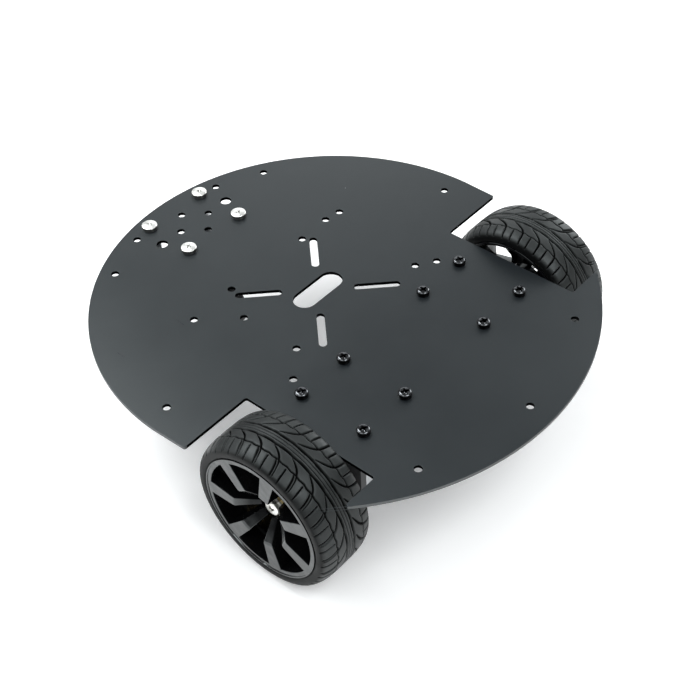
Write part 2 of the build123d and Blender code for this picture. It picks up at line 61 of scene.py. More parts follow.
# ---------------------------------------------------------------- dimensions, as in the CAD
DECK_TOP, DECK_T = 53.9, 1.5
FRONT_R, FRONT_CY = 95.0, 7.7
REAR_R, REAR_CY = 112.7, 10.0
NOTCH_X, NOTCH_F, NOTCH_R, CORNER_X = 62.4, -8.0, -70.0, 94.5
SLOT_CY = 11.4
AXLE_Y, AXLE_Z = -38.4, 32.5
BOX_Z = AXLE_Z - 7.0
WHEEL_C, RIM_HALF = 77.2, 13.0
W0, W1 = WHEEL_C - RIM_HALF, WHEEL_C + RIM_HALF
HUB_FACE = 79.8
COOL = (0.945, 0.997, 1.0, 1.0)
CAS_Y = 82.5
FOOT = [(sx * x, AXLE_Y + sy * 15.0) for sx in (-1, 1) for x in (24.6, 48.6) for sy in (-1, 1)]
CAS = [(sx * 15.0, CAS_Y + sy * 12.0) for sx in (-1, 1) for sy in (-1, 1)]


# ---------------------------------------------------------------- node helpers
class Tree:
    """A material's node tree with short calls for the nodes used here."""

    def __init__(self, name):
        self.mat = bpy.data.materials.new(name)
        self.mat.use_nodes = True
        self.t = self.mat.node_tree
        self.t.nodes.clear()
        self.out = self.t.nodes.new("ShaderNodeOutputMaterial")
        self.bsdf = self.t.nodes.new("ShaderNodeBsdfPrincipled")
        self.t.links.new(self.bsdf.outputs[0], self.out.inputs[0])
        self.co = self.t.nodes.new("ShaderNodeTexCoord").outputs["Object"]

    def link(self, a, b):
        self.t.links.new(a, b)

    def put(self, name, value):
        inp = self.bsdf.inputs[name]
        if isinstance(value, bpy.types.NodeSocket):
            self.link(value, inp)
        else:
            inp.default_value = value

    def scaled(self, sx, sy, sz):
        n = self.t.nodes.new("ShaderNodeMapping")
        n.inputs["Scale"].default_value = (sx, sy, sz)
        self.link(self.co, n.inputs["Vector"])
        return n.outputs[0]

    def noise(self, scale, detail=2.0, rough=0.5, vec=None, distortion=0.0):
        n = self.t.nodes.new("ShaderNodeTexNoise")
        n.inputs["Scale"].default_value = scale
        n.inputs["Detail"].default_value = detail
        n.inputs["Roughness"].default_value = rough
        n.inputs["Distortion"].default_value = distortion
        self.link(vec or self.co, n.inputs["Vector"])
        return n.outputs["Fac"]

    def voronoi(self, scale, vec=None):
        n = self.t.nodes.new("ShaderNodeTexVoronoi")
        n.inputs["Scale"].default_value = scale
        self.link(vec or self.co, n.inputs["Vector"])
        return n.outputs["Distance"], n.outputs["Color"]

    def math(self, op, a, b=0.0, c=0.0, clamp=False):
        n = self.t.nodes.new("ShaderNodeMath")
        n.operation = op
        n.use_clamp = clamp
        for i, v in enumerate((a, b, c)):
            if isinstance(v, bpy.types.NodeSocket):
                self.link(v, n.inputs[i])
            else:
                n.inputs[i].default_value = v
        return n.outputs[0]

    def fit(self, v, lo, hi, to_lo, to_hi):
        n = self.t.nodes.new("ShaderNodeMapRange")
        n.clamp = True
        for key, val in (("From Min", lo), ("From Max", hi), ("To Min", to_lo), ("To Max", to_hi)):
            n.inputs[key].default_value = val
        self.link(v, n.inputs["Value"])
        return n.outputs[0]

    def mix(self, fac, a, b):
        n = self.t.nodes.new("ShaderNodeMix")
        n.data_type = "RGBA"
        if isinstance(fac, bpy.types.NodeSocket):
            self.link(fac, n.inputs[0])
        else:
            n.inputs[0].default_value = fac
        for sock, v in ((n.inputs[6], a), (n.inputs[7], b)):
            if isinstance(v, bpy.types.NodeSocket):
                self.link(v, sock)
            else:
                sock.default_value = (*v, 1.0)
        return n.outputs[2]

    def bump(self, height, dist_m, strength=1.0, after=None):
        n = self.t.nodes.new("ShaderNodeBump")
        n.inputs["Distance"].default_value = dist_m
        n.inputs["Strength"].default_value = strength
        self.link(height, n.inputs["Height"])
        if after is not None:
            self.link(after, n.inputs["Normal"])
        return n.outputs[0]

    def pointiness(self):
        n = self.t.nodes.new("ShaderNodeNewGeometry")
        return n.outputs["Pointiness"]

    def mix_value(self, fac, a, b):
        return self.math("ADD", self.math("MULTIPLY", self.math("SUBTRACT", 1.0, fac), a),
                         self.math("MULTIPLY", fac, b))

    def upright(self):
        """1 on faces square to the object's Z, 0 on its walls."""
        n = self.t.nodes.new("ShaderNodeSeparateXYZ")
        self.link(self.t.nodes.new("ShaderNodeTexCoord").outputs["Normal"], n.inputs[0])
        return self.fit(self.math("ABSOLUTE", n.outputs[2]), 0.35, 0.8, 0, 1)

    def attribute(self, name):
        n = self.t.nodes.new("ShaderNodeAttribute")
        n.attribute_name = name
        return n.outputs["Fac"]


def grey(v, tint=(1, 1, 1)):
    return tuple(v * t for t in tint)


def make_deck_paint():
    k = Tree("deck_black_satin")
    big = k.noise(14, 3, 0.55)
    mid = k.noise(90, 3, 0.6)
    col = k.mix(k.fit(big, 0.3, 0.7, 0, 1), (0.0060, 0.0078, 0.0096), (0.0085, 0.0105, 0.0125))
    col = k.mix(k.fit(mid, 0.45, 0.75, 0, 0.35), col, (0.011, 0.013, 0.015))
    # a few specks of dust
    dist, rnd = k.voronoi(170)
    pick = k.t.nodes.new("ShaderNodeSeparateColor")
    k.link(rnd, pick.inputs[0])
    rare = k.math("GREATER_THAN", pick.outputs[0], 0.955)
    size = k.fit(pick.outputs[1], 0, 1, 0.012, 0.032)
    dot = k.math("MULTIPLY", k.math("LESS_THAN", dist, size), rare)
    col = k.mix(k.math("MULTIPLY", dot, 0.75), col, (0.34, 0.35, 0.35))
    # faint handling marks, long and thin
    scr = k.noise(1.0, 2, 0.5, vec=k.scaled(900, 38, 200), distortion=0.6)
    scr2 = k.noise(1.0, 2, 0.5, vec=k.scaled(45, 1100, 200), distortion=0.5)
    marks = k.math("MAXIMUM", k.fit(scr, 0.74, 0.80, 0, 1), k.fit(scr2, 0.75, 0.81, 0, 1))
    flat = k.upright()
    # painted shade on the walls of holes: near black, with no specular; painted light on the outer edge
    # wall: a little lighter, with some specular
    pos = k.t.nodes.new("ShaderNodeSeparateXYZ")
    k.link(k.co, pos.inputs[0])

    def beyond(cy, r):
        y = k.math("SUBTRACT", pos.outputs[1], cy * MM)
        d = k.math("ADD", k.math("MULTIPLY", pos.outputs[0], pos.outputs[0]), k.math("MULTIPLY", y, y))
        return k.math("GREATER_THAN", d, ((r - 0.5) * MM) ** 2)

    front = k.math("MULTIPLY", beyond(FRONT_CY, FRONT_R),
                   k.math("GREATER_THAN", pos.outputs[1], (NOTCH_F - 0.5) * MM))
    rim = k.math("MAXIMUM", front, beyond(REAR_CY, REAR_R))
    k.put("Base Color", k.mix(flat, k.mix(rim, (0.0010, 0.0011, 0.0012), (0.050, 0.052, 0.053)), col))
    lw = k.t.nodes.new("ShaderNodeLayerWeight")      # less mirror-like at a low angle
    lw.inputs["Blend"].default_value = 0.5
    level = k.math("MULTIPLY", k.mix_value(flat, k.fit(rim, 0, 1, 0.0, 0.5), 0.5), k.fit(lw.outputs["Facing"], 0.42, 0.66, 1, 0.2))
    k.put("Specular IOR Level", level)
    k.put("Specular Tint", COOL)
    r = k.fit(big, 0.25, 0.75, 0.30, 0.37)
    r = k.math("SUBTRACT", r, k.math("MULTIPLY", marks, 0.05))
    k.put("Roughness", r)
    k.put("IOR", 1.52)
    grain = k.noise(5200, 2, 0.6)
    pits = k.noise(1700, 2, 0.5)
    b = k.bump(grain, 0.000018, 0.55)
    k.put("Normal", k.bump(pits, 0.00003, 0.35, after=b))
    return k.mat


def make_metal(name, colour, rough, metallic=1.0, grain=2600, grain_dist=0.00002, vary=0.05,
               blot=140, stretch=None, tint=None, ior=1.5, walls=1.0):
    k = Tree(name)
    vec = k.scaled(*stretch) if stretch else None
    big = k.noise(blot, 3, 0.55)
    fine = k.noise(1.0 if stretch else grain, 3, 0.6, vec=vec)
    dark = tuple(c * (1 - 2.2 * vary) for c in colour)
    col = k.mix(k.fit(big, 0.3, 0.7, 0, 1), dark, tint or colour)
    if walls < 1:                          # painted shade: walls (faces running along Z) darker by the factor walls
        col = k.mix(k.upright(), tuple(c * walls for c in colour), col)
    k.put("Base Color", col)
    k.put("Metallic", metallic)
    k.put("IOR", ior)
    k.put("Roughness", k.fit(fine, 0.25, 0.75, max(rough - vary, 0.03), rough + vary))
    k.put("Normal", k.bump(fine, grain_dist, 0.5))
    return k.mat


def make_tyre_rubber():
    k = Tree("tyre_rubber")
    big = k.noise(160, 4, 0.6)
    fine = k.noise(2600, 3, 0.65)
    col = k.mix(k.fit(big, 0.3, 0.7, 0, 1), (0.0050, 0.0056, 0.0056), (0.0085, 0.0092, 0.0090))
    dust = k.noise(700, 4, 0.7)
    col = k.mix(k.fit(dust, 0.60, 0.82, 0, 0.3), col, (0.024, 0.025, 0.024))
    # painted shade from the 'groove' attribute: grooves and the lower sidewall turn near black and lose
    # most of their specular
    low = k.fit(k.attribute("groove"), 0.0, 0.9, 0, 1)
    k.put("Base Color", k.mix(low, col, (0.0012, 0.0012, 0.0012)))
    k.put("Specular IOR Level", k.fit(low, 0, 1, 0.42, 0.04))
    k.put("Specular Tint", COOL)
    k.put("Roughness", k.fit(big, 0.3, 0.7, 0.40, 0.52))
    k.put("IOR", 1.52)
    b = k.bump(fine, 0.00003, 0.5)
    k.put("Normal", k.bump(k.noise(420, 3, 0.6), 0.00006, 0.35, after=b))
    return k.mat


def make_gloss_black():
    k = Tree("rim_gloss_black")
    big = k.noise(120, 3, 0.5)
    col = k.mix(k.fit(big, 0.3, 0.7, 0, 1), (0.0022, 0.0022, 0.0026), (0.0040, 0.0040, 0.0044))
    k.put("Base Color", col)
    k.put("Roughness", k.fit(big, 0.3, 0.7, 0.07, 0.13))
    k.put("IOR", 1.60)
    # painted shade: inside the barrel, behind the face, the specular level drops from 0.54 to 0.10, so the
    # interior reads near black
    pos = k.t.nodes.new("ShaderNodeSeparateXYZ")
    k.link(k.co, pos.inputs[0])
    face = k.fit(k.math("ABSOLUTE", pos.outputs[0]), 0.0860, 0.0894, 0, 1)
    k.put("Specular IOR Level", k.fit(face, 0, 1, 0.10, 0.54))
    k.put("Specular Tint", COOL)
    b = k.bump(k.noise(95, 2, 0.5), 0.0014, 0.4)
    b = k.bump(k.noise(420, 2, 0.5), 0.00006, 0.3, after=b)
    k.put("Normal", k.bump(k.noise(3500, 2, 0.5), 0.000006, 0.3, after=b))
    return k.mat


def make_wheel_screw():
    """Bright steel, with painted shade down in the cross recess."""
    k = Tree("wheel_screw_steel")
    fine = k.noise(2600, 3, 0.6)
    pos = k.t.nodes.new("ShaderNodeSeparateXYZ")
    k.link(k.co, pos.inputs[0])
    dy = k.math("SUBTRACT", pos.outputs[1], AXLE_Y * MM)
    dz = k.math("SUBTRACT", pos.outputs[2], AXLE_Z * MM)
    r = k.math("SQRT", k.math("ADD", k.math("MULTIPLY", dy, dy), k.math("MULTIPLY", dz, dz)))
    # painted shade: near-black base colour below |x| 83.3 mm and within r 2.5 mm of the axle, in the cross
    # recess
    deep = k.fit(k.math("ABSOLUTE", pos.outputs[0]), 0.0833, 0.08345, 1, 0)
    recess = k.math("MULTIPLY", deep, k.fit(r, 0.0022, 0.0025, 1, 0))
    k.put("Base Color", k.mix(recess, (0.86, 0.845, 0.80), (0.10, 0.10, 0.095)))
    k.put("Metallic", 0.8)
    k.put("Roughness", k.fit(fine, 0.25, 0.75, 0.28, 0.34))
    k.put("Normal", k.bump(fine, 0.00002, 0.5))
    return k.mat


def make_plastic(name, colour, rough, ior=1.5, grain=1500, vary=0.05, dist=0.00002):
    k = Tree(name)
    big = k.noise(150, 3, 0.55)
    fine = k.noise(grain, 3, 0.6)
    k.put("Base Color", k.mix(k.fit(big, 0.3, 0.7, 0, 1), tuple(c * 0.86 for c in colour), colour))
    k.put("Roughness", k.fit(fine, 0.25, 0.75, rough - vary, rough + vary))
    k.put("IOR", ior)
    k.put("Normal", k.bump(fine, dist, 0.5))
    return k.mat


M = {
    "deck_black": make_deck_paint(),
    "bracket_black": make_plastic("bracket_black_coat", (0.028, 0.028, 0.030), 0.48, grain=3200),
    # walls=0.10: painted shade, the sides of these heads and nuts near black
    "black_oxide_steel": make_metal("black_oxide_steel", (0.095, 0.097, 0.102), 0.15, vary=0.04,
                                    grain=1800, walls=0.10),
    "zinc_steel": make_metal("zinc_steel", (0.50, 0.51, 0.52), 0.36, vary=0.07),
    "polished_steel": make_metal("polished_steel", (0.95, 0.935, 0.90), 0.30, vary=0.04),
    "turned_aluminium": make_metal("turned_aluminium", (0.44, 0.45, 0.46), 0.33,
                                   stretch=(300, 300, 9000), vary=0.07),
    "grey_plastic": make_plastic("grey_plastic", (0.17, 0.175, 0.18), 0.42),
    "caster_rubber": make_plastic("caster_rubber", (0.030, 0.030, 0.031), 0.60, grain=900),
    "gearbox_steel": make_metal("gearbox_steel", (0.40, 0.41, 0.42), 0.32,
                                stretch=(9000, 260, 260), vary=0.07),
    "bronze": make_metal("sintered_bronze", (0.50, 0.31, 0.15), 0.42, grain=3800, vary=0.08),
    "brass": make_metal("brass", (0.55, 0.40, 0.17), 0.30, stretch=(9000, 300, 300), vary=0.06),
    "gear_steel": make_metal("gear_steel", (0.40, 0.41, 0.42), 0.32),
    "motor_zinc": make_metal("motor_zinc", (0.38, 0.39, 0.40), 0.30, blot=420, vary=0.08),
    "black_plastic": make_plastic("black_plastic", (0.016, 0.016, 0.017), 0.40),
    "rim_gloss_black": make_gloss_black(),
    "tyre_rubber": make_tyre_rubber(),
    "foam": make_plastic("open_foam", (0.10, 0.10, 0.11), 0.85, grain=1100, dist=0.0002),
    # the two washer metals below are only part metallic over light base colours: painted light, so the
    # washers in the hub's shade still read bright
    "yellow_zinc": make_metal("yellow_zinc", (0.95, 0.74, 0.34), 0.40, metallic=0.35, blot=300,
                              vary=0.06),
    "steel_painted_bright": make_metal("steel_painted_bright", (0.92, 0.91, 0.87), 0.36, metallic=0.4, vary=0.04),
    "wheel_screw_steel": make_wheel_screw(),
    # walls=0.26: painted shade on the sides of the caster screw heads
    "shaded_steel": make_metal("polished_steel_head_shaded_sides", (0.97, 0.955, 0.92), 0.33, vary=0.04, walls=0.26),
}


# ---------------------------------------------------------------- mesh helpers
def link_mesh(name, me, slot, body, *nodes, smooth_angle=32.0, weighted=False):
    """Puts a finished mesh in the scene as a piece on its body."""
    ob = bpy.data.objects.new(name, me)
    bpy.context.scene.collection.objects.link(ob)
    me.materials.clear()
    me.materials.append(M[slot])
    me.shade_smooth()
    if smooth_angle < 180:
        me.set_sharp_from_angle(angle=math.radians(smooth_angle))
    if weighted:
        mod = ob.modifiers.new("weighted", "WEIGHTED_NORMAL")
        mod.keep_sharp = True
        mod.weight = 60
    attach(ob, body)
    if nodes:
        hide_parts(*nodes)
    return ob


def mesh_of(verts_mm, faces, fix=True):
    me = bpy.data.meshes.new("m")
    me.from_pydata([(x * MM, y * MM, z * MM) for x, y, z in verts_mm], [], faces)
    if fix:
        bm = bmesh.new()
        bm.from_mesh(me)
        bmesh.ops.recalc_face_normals(bm, faces=bm.faces)
        bm.to_mesh(me)
        bm.free()
    return me


def join(meshes):
    """One mesh from several."""
    bm = bmesh.new()
    for me in meshes:
        bm.from_mesh(me)
    out = bpy.data.meshes.new("joined")
    bm.to_mesh(out)
    bm.free()
    return out


def moved(me, matrix):
    out = me.copy()
    out.transform(matrix)
    return out


def at(x, y, z, rot=None):
    m = Matrix.Translation((x * MM, y * MM, z * MM))
    return m @ rot if rot is not None else m


def lathe(profile, n=64, closed=False, start=0.0):
    """Turns (radius, height) points about Z. An open profile starts and ends on the axis."""
    verts, faces, rows = [], [], []
    for r, z in profile:
        if r < 1e-6:
            rows.append([len(verts)])
            verts.append((0, 0, z))
        else:
            rows.append(list(range(len(verts), len(verts) + n)))
            verts += [(r * math.cos(start + 2 * math.pi * i / n),
                       r * math.sin(start + 2 * math.pi * i / n), z) for i in range(n)]
    pairs = list(zip(rows, rows[1:])) + ([(rows[-1], rows[0])] if closed else [])
    for a, b in pairs:
        for i in range(n):
            j = (i + 1) % n
            if len(a) == 1 and len(b) == 1:
                continue
            if len(a) == 1:
                faces.append((a[0], b[i], b[j]))
            elif len(b) == 1:
                faces.append((a[i], b[0], a[j]))
            else:
                faces.append((a[i], b[i], b[j], a[j]))
    return mesh_of(verts, faces)


def loft(rings, cap=True):
    """Skins equal rings of points, and closes both ends."""
    verts, faces = [], []
    n = len(rings[0])
    for ring in rings:
        verts += list(ring)
    for k in range(len(rings) - 1):
        for i in range(n):
            j = (i + 1) % n
            faces.append((k * n + i, k * n + j, (k + 1) * n + j, (k + 1) * n + i))
    if cap:
        faces.append(tuple(range(n))[::-1])
        faces.append(tuple(range((len(rings) - 1) * n, len(rings) * n)))
    return mesh_of(verts, faces)


def boolean(base, tools, op="DIFFERENCE"):
    """base with each tool cut out of it or joined to it."""
    scene = bpy.context.scene.collection
    ob = bpy.data.objects.new("bool_base", base)
    scene.objects.link(ob)
    helpers = []
    for t in tools:
        h = bpy.data.objects.new("bool_tool", t)
        scene.objects.link(h)
        helpers.append(h)
        mod = ob.modifiers.new("b", "BOOLEAN")
        mod.operation, mod.solver, mod.object = op, "EXACT", h
    bpy.context.view_layer.update()
    dg = bpy.context.evaluated_depsgraph_get()
    me = bpy.data.meshes.new_from_object(ob.evaluated_get(dg))
    for h in [ob] + helpers:
        bpy.data.objects.remove(h)
    return me


def bevel_mesh(me, width, segs=2, angle=30.0, keep=None):
    """Rounds a mesh's sharp edges by width millimetres."""
    bm = bmesh.new()
    bm.from_mesh(me)
    bmesh.ops.remove_doubles(bm, verts=bm.verts, dist=2e-6)
    bmesh.ops.dissolve_limit(bm, angle_limit=math.radians(0.6), verts=bm.verts, edges=bm.edges,
                             use_dissolve_boundaries=False, delimit=set())
    if width > 0:
        lim = math.radians(angle)
        edges = [e for e in bm.edges if len(e.link_faces) == 2 and e.calc_face_angle(0) > lim
                 and (keep is None or keep((e.verts[0].co + e.verts[1].co) / 2))]
        bmesh.ops.bevel(bm, geom=edges, offset=width * MM, offset_type="OFFSET", segments=segs,
                        profile=0.5, affect="EDGES", clamp_overlap=True, loop_slide=True)
    out = bpy.data.meshes.new("bevelled")
    bm.to_mesh(out)
    bm.free()
    return out


def refine(node, slot, width, segs=2, angle=30.0):
    """A CAD node's own shape with its edges rounded, as a new piece."""
    body = NODES[node]["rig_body"]
    me = bevel_mesh(NODES[node].data, width, segs, angle)
    return link_mesh(node + ".fine", me, slot, body, node, smooth_angle=40, weighted=True)


# ---------------------------------------------------------------- camera, light and floor
scene = bpy.context.scene
cam = bpy.data.objects.new("camera", bpy.data.cameras.new("camera"))
scene.collection.objects.link(cam)
scene.camera = cam
cx, cy, cz = ((0.64761, -0.76142, -0.02891), (0.54133, 0.43305, 0.72071),
              (-0.53624, -0.48239, 0.69263))
cam.matrix_world = Matrix(((cx[0], cy[0], cz[0], -0.285666), (cx[1], cy[1], cz[1], -0.261747),
                           (cx[2], cy[2], cz[2], 0.398529), (0, 0, 0, 1)))
cam.data.sensor_width = 36.0
cam.data.lens = 66.477
cam.data.clip_start, cam.data.clip_end = 0.01, 50
cam.data.dof.use_dof = False

scene.view_settings.view_transform = "Standard"
scene.view_settings.look = "None"
scene.view_settings.exposure = 0.0
scene.view_settings.gamma = 1.0

world = bpy.data.worlds.new("studio")
scene.world = world
world.use_nodes = True
bg = world.node_tree.nodes["Background"]
bg.inputs["Color"].default_value = (0.90, 0.98, 1.0, 1)
bg.inputs["Strength"].default_value = 1.0
wt = world.node_tree
wsep = wt.nodes.new("ShaderNodeSeparateXYZ")
wt.links.new(wt.nodes.new("ShaderNodeTexCoord").outputs["Generated"], wsep.inputs[0])
wfit = wt.nodes.new("ShaderNodeMapRange")          # white at the horizon, dim overhead
for key, val in (("From Min", 0.03), ("From Max", 0.16), ("To Min", 1.0), ("To Max", 0.25)):
    wfit.inputs[key].default_value = val
wt.links.new(wsep.outputs[2], wfit.inputs["Value"])
wmul = wt.nodes.new("ShaderNodeVectorMath")
wmul.operation = "SCALE"
wmul.inputs[0].default_value = (0.955, 0.988, 1.0)
wt.links.new(wfit.outputs[0], wmul.inputs["Scale"])
wt.links.new(wmul.outputs[0], bg.inputs["Color"])


LIGHTS = ((90, 55, 10.9), (270, 55, 8.05), (0, 25, 6.9), (130, 25, 3.7), (180, 55, 3.55),
          (42, 25, 1.7), (220, 55, 0.9), (130, 55, 0.8), (0, 55, 0.66))


def softbox(name, loc, target, size, power, colour=(1, 1, 1)):
    data = bpy.data.lights.new(name, "AREA")
    data.shape = "DISK"
    data.size = size
    data.energy = power
    data.color = colour
    ob = bpy.data.objects.new(name, data)
    scene.collection.objects.link(ob)
    ob.location = loc
    ob.rotation_mode = "QUATERNION"
    ob.rotation_quaternion = (Vector(target) - Vector(loc)).to_track_quat("-Z", "Y")
    return ob


def studio_light(azimuth, elevation, power):
    """Round softbox 1.3 m away, aimed at the robot."""
    a, e = math.radians(azimuth), math.radians(elevation)
    loc = (1.3 * math.cos(e) * math.cos(a), 1.3 * math.cos(e) * math.sin(a), 1.3 * math.sin(e))
    return softbox(f"light_{azimuth}_{elevation}", loc, (0, 0, 0), 0.7, power, (0.945, 0.988, 1.0))


for azimuth, elevation, power in LIGHTS:
    studio_light(azimuth, elevation, power)

fm = bpy.data.meshes.new("floor")
fm.from_pydata([(-4, -4, 0), (4, -4, 0), (4, 4, 0), (-4, 4, 0)], [], [(0, 1, 2, 3)])
floor = bpy.data.objects.new("floor", fm)
scene.collection.objects.link(floor)
kf = Tree("floor_pale_glowing")
soft = kf.noise(3, 2, 0.5)
kf.put("Base Color", kf.mix(kf.fit(soft, 0.3, 0.7, 0, 1), (0.976, 0.955, 0.951), (0.986, 0.965, 0.961)))
kf.put("Roughness", 0.55)
kf.put("Specular IOR Level", 0.25)
# painted light: the floor glows, 0.2 within 0.55 m of the robot rising to 1.0 by 1.7 m; this lifts its
# shadows and whitens the floor further out
kf.put("Emission Color", (0.99, 0.995, 1.0, 1.0))
far = kf.t.nodes.new("ShaderNodeVectorMath")
far.operation = "LENGTH"
kf.link(kf.co, far.inputs[0])
kf.put("Emission Strength", kf.fit(far.outputs["Value"], 0.55, 1.7, 0.20, 1.0))
fm.materials.append(kf.mat)


# ---------------------------------------------------------------- deck plate
def arc(cx_, cy_, r, a0, a1, n):
    return [(cx_ + r * math.cos(a0 + (a1 - a0) * i / n), cy_ + r * math.sin(a0 + (a1 - a0) * i / n))
            for i in range(n + 1)]


def rounded(points, radii, n=6):
    """Closed outline with each corner rounded by its own radius (0 keeps it)."""
    out = []
    m = len(points)
    for i in range(m):
        p, r = Vector(points[i]), radii[i]
        if r <= 0:
            out.append(tuple(p))
            continue
        a = (Vector(points[i - 1]) - p).normalized()
        b = (Vector(points[(i + 1) % m]) - p).normalized()
        half = math.acos(max(-1, min(1, a.dot(b)))) / 2
        d = r / math.tan(half)
        c = p + (a + b).normalized() * (r / math.sin(half))
        s, e = p + a * d - c, p + b * d - c
        t0, t1 = math.atan2(s.y, s.x), math.atan2(e.y, e.x)
        dt = (t1 - t0 + math.pi) % (2 * math.pi) - math.pi
        out += [(c.x + r * math.cos(t0 + dt * k / n), c.y + r * math.sin(t0 + dt * k / n))
                for k in range(n + 1)]
    return out


rear_x = math.sqrt(REAR_R ** 2 - (NOTCH_R - REAR_CY) ** 2)
outline, radii = [], []
for p in arc(0, FRONT_CY, FRONT_R, 0, math.pi, 180):
    outline.append(p)
    radii.append(0)
for p in ((-CORNER_X, NOTCH_F), (-NOTCH_X, NOTCH_F), (-NOTCH_X, NOTCH_R), (-rear_x, NOTCH_R)):
    outline.append(p)
    radii.append(0.9)
a_l = math.atan2(NOTCH_R - REAR_CY, -rear_x) % (2 * math.pi)
a_r = math.atan2(NOTCH_R - REAR_CY, rear_x) % (2 * math.pi)
for p in arc(0, REAR_CY, REAR_R, a_l, a_r, 110)[1:-1]:
    outline.append(p)
    radii.append(0)
for p in ((rear_x, NOTCH_R), (NOTCH_X, NOTCH_R), (NOTCH_X, NOTCH_F), (CORNER_X, NOTCH_F)):
    outline.append(p)
    radii.append(0.9)
deck_loops = [rounded(outline, radii)]


def slot_loop(x, y, length, width, deg, n=16):
    r, h = width / 2, length / 2 - width / 2
    c, s = math.cos(math.radians(deg)), math.sin(math.radians(deg))
    pts = arc(h, 0, r, -math.pi / 2, math.pi / 2, n) + arc(-h, 0, r, math.pi / 2, 1.5 * math.pi, n)
    return [(x + px * c - py * s, y + px * s + py * c) for px, py in pts]


def hole_loop(x, y, r, n=32):
    return [(x + r * math.cos(2 * math.pi * i / n), y + r * math.sin(2 * math.pi * i / n))
            for i in range(n)]


deck_loops.append(slot_loop(0, SLOT_CY, 25.4, 9.8, 0, 24))
for sx, sy in ((1, 1), (-1, -1), (1, -1), (-1, 1)):
    deck_loops.append(slot_loop(sx * 17.0, SLOT_CY + sy * 17.0, 19.0, 3.2, 45 * sx * sy))
pair = lambda x, y: [(-x, y), (x, y)]
SMALL = (pair(84.5, 11.6) + pair(44.9, 83.7) + pair(23.8, 93.1) + pair(49.6, -79.3)
         + [(0, -92.4)] + pair(8.2, 82.3) + [(0, 90.4), (0, 74.2)]
         + pair(44.2, SLOT_CY + 26.6) + pair(44.2, SLOT_CY - 26.6)
         + [(-21.7, 39.1), (36.4, 39.1), (36.4, -10.0)]
         + [(-31.0, 23.2), (-31.0, -4.9), (20.3, 38.2)])
deck_loops += [hole_loop(x, y, 1.6) for x, y in SMALL]
deck_loops += [hole_loop(x, y, 2.45, 40) for x, y in pair(19.2, 82.4)]
deck_loops += [hole_loop(x, y, 1.7) for x, y in FOOT] + [hole_loop(x, y, 2.2) for x, y in CAS]


def plate_from_loops(loops, z_mid, t, edge, segs=2):
    """A flat plate with holes and softened edges, by way of a filled 2D curve."""
    cu = bpy.data.curves.new("plate", "CURVE")
    cu.dimensions = "2D"
    cu.fill_mode = "BOTH"
    for pts in loops:
        sp = cu.splines.new("POLY")
        sp.points.add(len(pts) - 1)
        for q, (x, y) in zip(sp.points, pts):
            q.co = (x * MM, y * MM, 0, 1)
        sp.use_cyclic_u = True
    cu.extrude = (t / 2 - edge) * MM
    cu.bevel_depth = edge * MM
    cu.bevel_resolution = segs
    cu.offset = -edge * MM
    ob = bpy.data.objects.new("plate", cu)
    scene.collection.objects.link(ob)
    bpy.context.view_layer.update()
    me = bpy.data.meshes.new_from_object(ob.evaluated_get(bpy.context.evaluated_depsgraph_get()))
    bpy.data.objects.remove(ob)
    bm = bmesh.new()
    bm.from_mesh(me)
    bmesh.ops.remove_doubles(bm, verts=bm.verts, dist=1e-6)
    bmesh.ops.recalc_face_normals(bm, faces=bm.faces)
    bm.to_mesh(me)
    bm.free()
    me.transform(Matrix.Translation((0, 0, z_mid * MM)))
    return me


link_mesh("deck_plate.fine", plate_from_loops(deck_loops, DECK_TOP - DECK_T / 2, DECK_T, 0.13),
          "deck_black", "root", "deck_plate", smooth_angle=30, weighted=True)


# ---------------------------------------------------------------- screws
def cross_cutter(length, width, depth, top):
    """Tapered cross recess, widest at the top, with small flats in its inner corners."""
    def ring(l, w, z):
        c = w * 1.45
        pts = []
        for q in range(4):
            a = q * math.pi / 2
            ca, sa = math.cos(a), math.sin(a)
            for x, y in ((c, -w), (l, -w * 0.86), (l, w * 0.86), (c, w)):
                pts.append((x * ca - y * sa, x * sa + y * ca, z))
        return pts
    k = 0.6 / depth
    return loft([ring(length * (1 + 0.28 * k), width * (1 + 0.2 * k), top + 0.6),
                 ring(length, width, top),
                 ring(length * 0.93, width * 0.93, top - 0.12),
                 ring(length * 0.50, width * 0.66, top - depth * 0.86),
                 ring(length * 0.20, width * 0.50, top - depth)])


def thread_shank(r, pitch, z0, z1, n=28):
    """Screw shank with a helical thread; closed by small cones."""
    per = 8
    steps = int(abs(z1 - z0) / pitch * per)
    verts, faces = [(0, 0, z0)], []
    for k in range(steps + 1):
        z = z0 + (z1 - z0) * k / steps
        fade = min(1.0, (steps - k) / per)
        for i in range(n):
            t = i / n
            ph = (z / pitch + t) % 1.0
            tri = 1 - abs(2 * ph - 1)
            rr = r - 0.30 * pitch * (1 - tri) * 1.1
            rr = rr * (0.80 + 0.20 * fade)
            a = 2 * math.pi * t
            verts.append((rr * math.cos(a), rr * math.sin(a), z))
    top = len(verts)
    verts.append((0, 0, z1))
    for i in range(n):
        j = (i + 1) % n
        faces.append((0, 1 + i, 1 + j))
        b = 1 + steps * n
        faces.append((top, b + j, b + i))
        for k in range(steps):
            a = 1 + k * n
            faces.append((a + i, a + n + i, a + n + j, a + j))
    return mesh_of(verts, faces)


